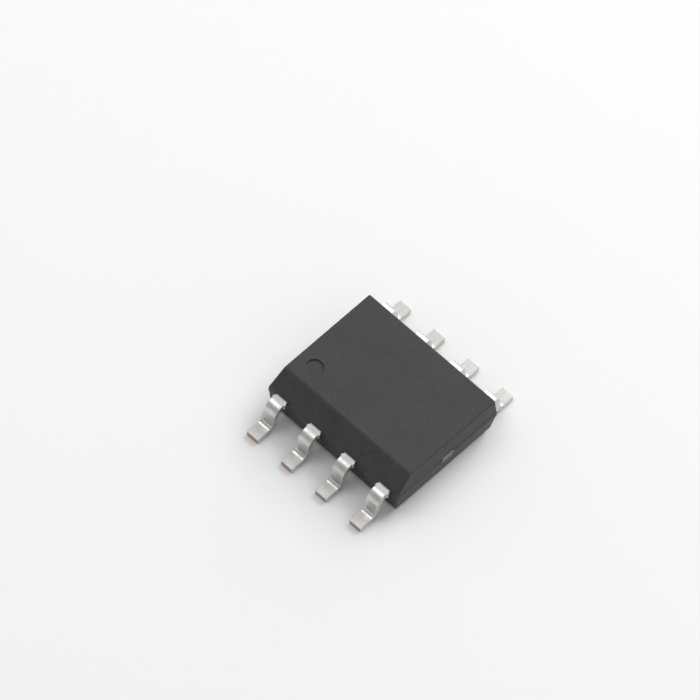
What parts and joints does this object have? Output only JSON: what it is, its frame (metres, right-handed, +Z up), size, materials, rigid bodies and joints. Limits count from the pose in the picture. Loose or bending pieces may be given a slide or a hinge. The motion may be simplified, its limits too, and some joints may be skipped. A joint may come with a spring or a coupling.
{
  "type": "instrumentation amplifier",
  "caption": "Small-outline chip: a black moulded body with a bevelled top edge, bright gull-wing leads on both long sides, and a wired silicon die inside.",
  "frame": {"origin": "on the board plane, at the undersides of the feet, under the middle of the body", "axes": "+X along the lead rows, +Y across the leads, from the side of lead 1 to the other side, +Z up from the board"},
  "size_m": [0.0048, 0.006, 0.0015],
  "materials": {
    "mould_compound": "matte black moulding compound with fine filler grain",
    "tin_plate": "bright matte tin plating on copper alloy",
    "copper": "rolled copper alloy",
    "adhesive": "silver-filled adhesive",
    "silicon": "polished silicon with a passivated face",
    "gold_wire": "bright drawn gold"
  },
  "bodies": {
    "root": {"mould_body": "mould_compound", "lead_1": "tin_plate", "lead_2": "tin_plate", "lead_3": "tin_plate", "lead_4": "tin_plate", "lead_5": "tin_plate", "lead_6": "tin_plate", "lead_7": "tin_plate", "lead_8": "tin_plate", "die_paddle": "copper", "die_attach": "adhesive", "die": "silicon", "bond_wire_1": "gold_wire", "bond_wire_2": "gold_wire", "bond_wire_3": "gold_wire", "bond_wire_4": "gold_wire", "bond_wire_5": "gold_wire", "bond_wire_6": "gold_wire", "bond_wire_7": "gold_wire", "bond_wire_8": "gold_wire"}
  },
  "joints": []
}
